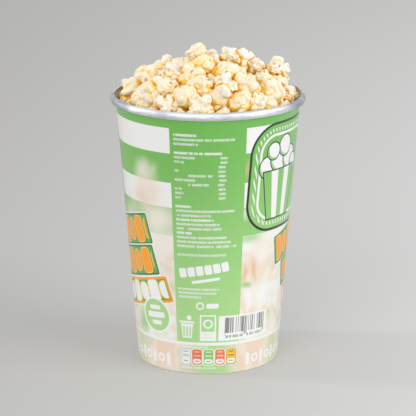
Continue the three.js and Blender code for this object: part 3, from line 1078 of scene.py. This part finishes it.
def lobes_of(kind, draw):
    """The body, lobes and knobs of a flake of radius 1, as placed balls."""
    up = Vector((0, 0, 1))
    body_shape = [between(BODY_RANGE, draw()) for _ in range(3)]
    balls = [placed_ball(up * kind["offset"], kind["body"], body_shape, up, draw)]
    start = math.tau * draw()
    for index in range(kind["lobes"]):
        way = spiral_way(index, kind["lobes"], start + LOBE_WANDER * draw())
        centre = way * kind["reach"] * between(LOBE_REACH_RANGE, draw())
        size = kind["lobe"] * between(LOBE_SIZE_RANGE, draw())
        shape = (kind["thin"] * between(LOBE_THIN_RANGE, draw()), 1.05, 1)
        balls.append(placed_ball(centre, size, shape, way, draw))
        for knob in range(kind["knobs"]):
            out = spiral_way(knob, kind["knobs"], math.tau * draw())
            bump = KNOB_SIZE * size * between(KNOB_RANGE, draw())
            spot = centre + KNOB_REACH * size * out
            balls.append(placed_ball(spot, bump, (1, 1, 1), out, draw))
    return balls


def fused_balls(name, balls, voxel):
    """One skin over placed balls."""
    bm = bmesh.new()
    for place in balls:
        bmesh.ops.create_icosphere(bm, subdivisions=3, radius=1, matrix=place)
    maker = placed(name, meshed(name, bm))
    fuse = maker.modifiers.new("fuse", "REMESH")
    fuse.mode = "VOXEL"
    fuse.voxel_size = voxel
    skin = bpy.data.meshes.new_from_object(
        maker.evaluated_get(bpy.context.evaluated_depsgraph_get())
    )
    bpy.data.objects.remove(maker)
    return skin


def smooth(bm, factor):
    bmesh.ops.smooth_vert(
        bm, verts=bm.verts, factor=factor, use_axis_x=True, use_axis_y=True, use_axis_z=True
    )


def flake_mesh(name, kind, variant, voxel):
    """One burst flake of radius 1: fused lobes, swollen between folds, the folds marked for painted
    shade.
    """
    draw = seeded(kind["seed"] + 100 * variant)
    flake = fused_balls(name, lobes_of(kind, draw), voxel)
    bm = bmesh.new()
    bm.from_mesh(flake)
    smooth(bm, 0.5)
    bm.normal_update()
    fold = bm.verts.layers.float.new("fold")
    away = Vector((3.1 * variant, kind["seed"], 0))
    for vert in bm.verts:
        bent = vert.co + SWIRL * noise.noise_vector(vert.co * SWIRL_SIZE + away)
        broad, middling, fine = (abs(noise.noise(bent * size + away)) for size in FOLD_SIZES)
        deepest, shallow = (max(0, 1 - rise / FOLD_WIDTH) for rise in (broad, middling))
        # Painted shade: the deepest folds are marked to be coloured golden
        vert[fold] = 0.8 * deepest + 0.35 * shallow
        vert.co += vert.normal * (
            kind["swell"] * (min(broad, 0.5) ** 0.7 - 0.35)
            + kind["crumple"] * (middling**0.8 - 0.25)
            + kind["fray"] * (fine - 0.2)
        )
    smooth(bm, 0.2)
    bm.to_mesh(flake)
    bm.free()
    return flake


def polar(out, around):
    """Across and back from the middle, for a distance and an angle."""
    return out * math.cos(around), out * math.sin(around)


def even_out(place, count, radius):
    """How far out a place lies where the places fill a disc evenly."""
    return radius * math.sqrt((place + 0.5) / count)


def heap_flakes():
    """Every flake of the heap's skin: kind, variant, centre, radius and turn."""
    draw = seeded(7)
    flakes = []

    def lay(kind, centre, radius):
        variant = int(draw() * FLAKE_VARIANTS)
        turn = [draw() * math.tau for _ in range(3)]
        flakes.append((kind, variant, centre, radius, Euler(turn, "ZYX")))

    for kind, x, y, z, radius in CHOSEN_FLAKES:
        lay(kind, Vector((x, y, z)) * MM, radius * MM)
    for place in range(SPREAD_PLACES):
        kind = KIND_NAMES[int(draw() * len(KIND_NAMES))]
        radius = between(FLAKE_RADIUS, draw())
        out = min(even_out(place, SPREAD_PLACES, SPREAD_RADIUS), RIM_BORE - radius)
        x, y = (part + between(FLAKE_SHIFT, draw()) for part in polar(out, GOLDEN_ANGLE * place))
        centre = Vector((x, y, heap_height(x, y) + between(FLAKE_SHIFT, draw())))
        crowded = any(
            (centre - other).length < NEIGHBOUR_FIT * (radius + other_radius)
            for _, _, other, other_radius, _ in flakes
        )
        if not crowded:
            lay(kind, centre, radius)
    for index in range(1, len(flakes)):     # the crown comes first and keeps its size
        kind, variant, centre, radius, turn = flakes[index]
        swell = CHOSEN_SWELL if index < len(CHOSEN_FLAKES) else SPREAD_SWELL
        flakes[index] = (kind, variant, centre, swell * radius, turn)
    return flakes


def under_flakes():
    """Flakes that fill in under the skin of the heap, and a row of them along the wall."""
    draw = seeded(61)
    flakes = []

    def lay(x, y, z, radius):
        kind = KIND_NAMES[int(draw() * len(KIND_NAMES))]
        turn = Euler([draw() * math.tau for _ in range(3)])
        flakes.append((kind, int(draw() * FLAKE_VARIANTS), Vector((x, y, z)), radius, turn))

    for place in range(UNDER_PLACES):
        x, y = polar(even_out(place, UNDER_PLACES, UNDER_REACH), GOLDEN_ANGLE * place + 0.5)
        depth = between(UNDER_DEPTH, draw())
        lay(x, y, heap_height(x, y) - depth, between(UNDER_RADIUS, draw()))
    for place in range(EDGE_PLACES):
        around = math.tau * (place + 0.5 * draw()) / EDGE_PLACES
        radius = between(EDGE_RADIUS, draw())
        x, y = polar(room_radius(EDGE_ROOM) - 0.9 * radius, around)
        lay(x, y, between(EDGE_HEIGHT, draw()), radius)
    return flakes


CORN_LOOKS = {                 # cream, warmth, specks
    "ball": (swatch(227, 217, 201), 0.12, 1.0),
    "burst": (swatch(231, 225, 217), -0.05, 0.15),
    "clump": (swatch(229, 221, 210), 0.0, 0.45),
    "shell": (swatch(228, 219, 204), 0.06, 0.3),
}
noise.seed_set(SWIRL_SEED)
fine_units = {}
coarse_units = {}
for kind in KIND_NAMES:
    for variant in range(FLAKE_VARIANTS):
        for units, voxel in ((fine_units, FINE_SKIN), (coarse_units, COARSE_SKIN)):
            name = f"{kind}_{variant}"
            units[kind, variant] = flake_mesh(name, FLAKE_KINDS[kind], variant, voxel)


def add_flake(bm, unit, kind, flake, gilding, draw):
    """Lays one flake, pressed off the wall, with a golden cap on one side and painted shade where
    it lies deep in the heap.
    """
    _, _, centre, radius, turn = flake
    first = len(bm.verts)
    bm.from_mesh(unit)
    bm.verts.ensure_lookup_table()
    added = bm.verts[first:]
    squash = Matrix.Diagonal([radius * between(SQUASH_RANGE, draw()) for _ in range(3)] + [1])
    place = Matrix.Translation(centre) @ turn.to_matrix().to_4x4() @ squash
    bmesh.ops.transform(bm, matrix=place, verts=added)
    pole = Vector([draw() - 0.5 for _ in range(3)]).normalized() + CAP_LEAN
    pole.normalize()
    gild = between(kind["gild"], draw()) * gilding
    own = draw() ** 1.5
    cap = bm.verts.layers.float["cap"]
    flake_tone = bm.verts.layers.float["flake"]
    for vert in added:
        if vert.co.z < PRESSED_BELOW:
            press_in(vert)
        facing = (vert.co - centre).normalized().dot(pole)
        # Painted shade: popcorn deep in the heap is laid golden through the cap layer
        depth = heap_height(vert.co.x, vert.co.y) - vert.co.z
        buried_shade = BURIED_SHADE * min(1, (depth - BURIED_FROM) / BURIED_FROM)
        vert[cap] = max(0, buried_shade, gild * min(1, (facing - CAP_EDGE) / CAP_FADE))
        vert[flake_tone] = own


look_draw = seeded(23)
heaps = {kind: with_corn_layers(bmesh.new()) for kind in KIND_NAMES}
for units, flakes, gilding in (
    (fine_units, heap_flakes(), 1), (coarse_units, under_flakes(), UNDER_GILDING)
):
    for flake in flakes:
        kind, variant = flake[:2]
        unit = units[kind, variant]
        add_flake(heaps[kind], unit, FLAKE_KINDS[kind], flake, gilding, look_draw)

# How hollow the heap is at every point, from how near popcorn or the rim lies all round: it sets
# the painted shade in the hollows
HOLLOW_REACH = 10 * MM
HOLLOW_WAYS = 14
HOLLOW_LIFT = 0.3 * MM         # the rays start this far off the surface
HOLLOW_GRAZE = 0.15            # and none of them grazes it more than this


def add_copy(bm, other):
    """Adds a copy of one bmesh to another."""
    part = bpy.data.meshes.new("part")
    other.to_mesh(part)
    bm.from_mesh(part)
    bpy.data.meshes.remove(part)


skin = bmesh.new()
skin.from_mesh(filling.data)
skin.from_mesh(seamed_rim.data)
for heap in heaps.values():
    add_copy(skin, heap)
surface = BVHTree.FromBMesh(skin)
skin.free()
ways = [spiral_way(index, HOLLOW_WAYS, 0.4) for index in range(HOLLOW_WAYS)]


def mark_hollow_shade(bm):
    """Painted shade in hollows, as shares of 1: open surface is 0, the bottom of a narrow gap is 1.
    """
    hollow = bm.verts.layers.float["hollow"]
    bm.normal_update()
    for vert in bm.verts:
        start = vert.co + HOLLOW_LIFT * vert.normal
        seen = closed = 0
        for way in ways:
            facing = way.dot(vert.normal)
            if facing < HOLLOW_GRAZE:
                continue
            seen += facing
            found = surface.ray_cast(start, way, HOLLOW_REACH)[3]
            if found is not None:
                closed += facing * (1 - found / HOLLOW_REACH) ** 0.5
        vert[hollow] = closed / max(seen, 0.01)


for kind, heap in heaps.items():
    mark_hollow_shade(heap)
    piece(f"popcorn_{kind}", heap, [popped_corn(f"popcorn {kind}", *CORN_LOOKS[kind])],
          ["popcorn"])


# --- Bits of hull --------------------------------------------------------------------
# The thin skins of the kernels, split by the popping into curved bits. Toasted amber and
# brown, they cling to the flakes they came off.

HULL_SKIN = 0.14 * MM
HULL_FACING = (1.0, 0.6, 0.45)   # a hull's length, width and rise, as shares of its size
# Across, forwards (-) or back, and size, in millimetres
CHOSEN_HULLS = (
    (-31.8, 1, 1.6), (-44, 3, 1.4), (4, -19, 1.5), (1, -36, 1.7), (-17, -39, 2.2), (33, -1, 1.5),
    (44.4, 1.5, 1.2), (47.6, 1.5, 1.3), (-24, -31, 1.5), (20, -44, 1.6), (-37, -30, 1.3),
    (52, -14, 5), (53, -18.5, 4.4), (12, -28, 1.3), (-8, -20, 1.2),
)
HULL_PLACES = 26
HULL_SIZE = (1.2, 2.4)
HULL_SPREAD = 52 * MM
HULL_TILT = Vector((0.2, -0.6, 0))
HULL_CUT = 0.2                 # a hull is what lies above this height of a ball of radius 1
HULL_SLANT = 0.25              # and the cut slopes
HULL_SUNK = 0.25               # share of its size that it is sunk by
DROPPED_FROM = 250 * MM


def toasted_hull():
    """Hull skin: shiny, translucent amber with browner patches."""
    finish = Finish("toasted hull")
    browning = finish.noise(finish.place, 500)
    colour = finish.mix(browning.fade(0.46, 0.66), swatch(232, 172, 70), swatch(150, 88, 36))
    finish.surface({
        "Base Color": colour,
        "Roughness": 0.3 + browning * 0.2,
        "Subsurface Weight": 0.2,
        "Subsurface Scale": 0.6 * MM,
        "Coat Weight": 0.3,
    })
    return finish


def add_hull(bm, spot, normal, size, spin):
    """A cut-off, flattened ball laid against the surface at a spot."""
    cap = bmesh.new()
    bmesh.ops.create_icosphere(cap, subdivisions=2, radius=1)
    bmesh.ops.bisect_plane(
        cap, geom=cap.verts[:] + cap.edges[:] + cap.faces[:], plane_co=(0, 0, HULL_CUT),
        plane_no=(0, HULL_SLANT, 1), clear_inner=True,
    )
    lie = normal.to_track_quat("Z", "Y").to_matrix().to_4x4() @ Matrix.Rotation(spin, 4, "Z")
    sizes = Matrix.Diagonal([size * share for share in HULL_FACING] + [1])
    drop = Matrix.Translation((0, 0, -HULL_SUNK * size))
    bmesh.ops.transform(
        cap, matrix=Matrix.Translation(spot) @ lie @ drop @ sizes, verts=cap.verts
    )
    bmesh.ops.solidify(cap, geom=cap.faces[:], thickness=HULL_SKIN)
    add_copy(bm, cap)
    cap.free()


hull_draw = seeded(97)
hulls = bmesh.new()
places = [(x * MM, y * MM, size * MM) for x, y, size in CHOSEN_HULLS]
for place in range(HULL_PLACES):
    around = GOLDEN_ANGLE * place + 0.6 * hull_draw()
    size = between(HULL_SIZE, hull_draw()) * MM
    places.append((*polar(even_out(place, HULL_PLACES, HULL_SPREAD), around), size))
for x, y, size in places:
    spot, normal, _, _ = surface.ray_cast(Vector((x, y, DROPPED_FROM)), Vector((0, 0, -1)))
    if spot:
        add_hull(hulls, spot, normal + HULL_TILT, size, math.tau * hull_draw())
piece("hull_bits", hulls, [toasted_hull()], ["popcorn"])


# --- Studio --------------------------------------------------------------------------
# A pale floor that runs out of sight, large soft lights from the right and the front, a
# tall narrow one from the left that draws a streak on the varnish, and an even sky.

FLOOR_REACH = 6

floor_mesh = bmesh.new()
bmesh.ops.create_grid(floor_mesh, x_segments=1, y_segments=1, size=FLOOR_REACH)
floor = placed("floor", meshed("floor", floor_mesh))
paper = Finish("studio paper")
floor_x, floor_y, _ = paper.axes(paper.place)
# Painted light: the floor is painted darker towards the left and the back, as the lamps' light
# would fall off
lit = 0.49 - floor_y / 10 + floor_x * (1.75 - 0.77 * floor_y)
paper.surface({
    "Base Color": paper.mix(lit, swatch(162, 160, 157), swatch(204, 204, 203)),
    "Roughness": 0.9,
})
floor.data.materials.append(paper.material)


def softbox(name, place, aim, width, height, power):
    """A rectangular area light turned towards a point."""
    lamp = bpy.data.lights.new(name, "AREA")
    lamp.shape = "RECTANGLE"
    lamp.size = width
    lamp.size_y = height
    lamp.energy = power
    made = placed(name, lamp)
    made.location = place
    made.rotation_euler = (Vector(aim) - Vector(place)).to_track_quat("-Z", "Y").to_euler()
    made.visible_camera = False


# Name, place, aim, width and height in metres, and power in watts
softbox("key", (3.7, -1.9, 2.1), (0, 0, 0.1), 3.6, 3.6, 104)
softbox("streak", (-1.3, 0.15, 0.5), (0, 0, 0.12), 0.16, 1.0, 5.5)
softbox("front", (-1.5, -4.4, 2.3), (0, 0, 0.12), 4, 4, 82)

world = bpy.data.worlds.new("even sky")
bpy.context.scene.world = world
world.use_nodes = True
sky = world.node_tree.nodes["Background"].inputs
sky["Color"].default_value = (0.98, 0.99, 1.0, 1)
sky["Strength"].default_value = 0.88

CAMERA_DISTANCE = 1.5
CAMERA_HEIGHT = 0.5055
CAMERA_DOWN = 0.263            # radians below level
CAMERA_LENS = 199.5

camera_data = bpy.data.cameras.new("camera")
camera_data.lens = CAMERA_LENS
camera_data.sensor_width = 36
camera = placed("camera", camera_data)
camera.location = (0, -CAMERA_DISTANCE, CAMERA_HEIGHT)
camera.rotation_euler = (math.pi / 2 - CAMERA_DOWN, 0, 0)
bpy.context.scene.camera = camera
bpy.context.scene.view_settings.view_transform = "Standard"
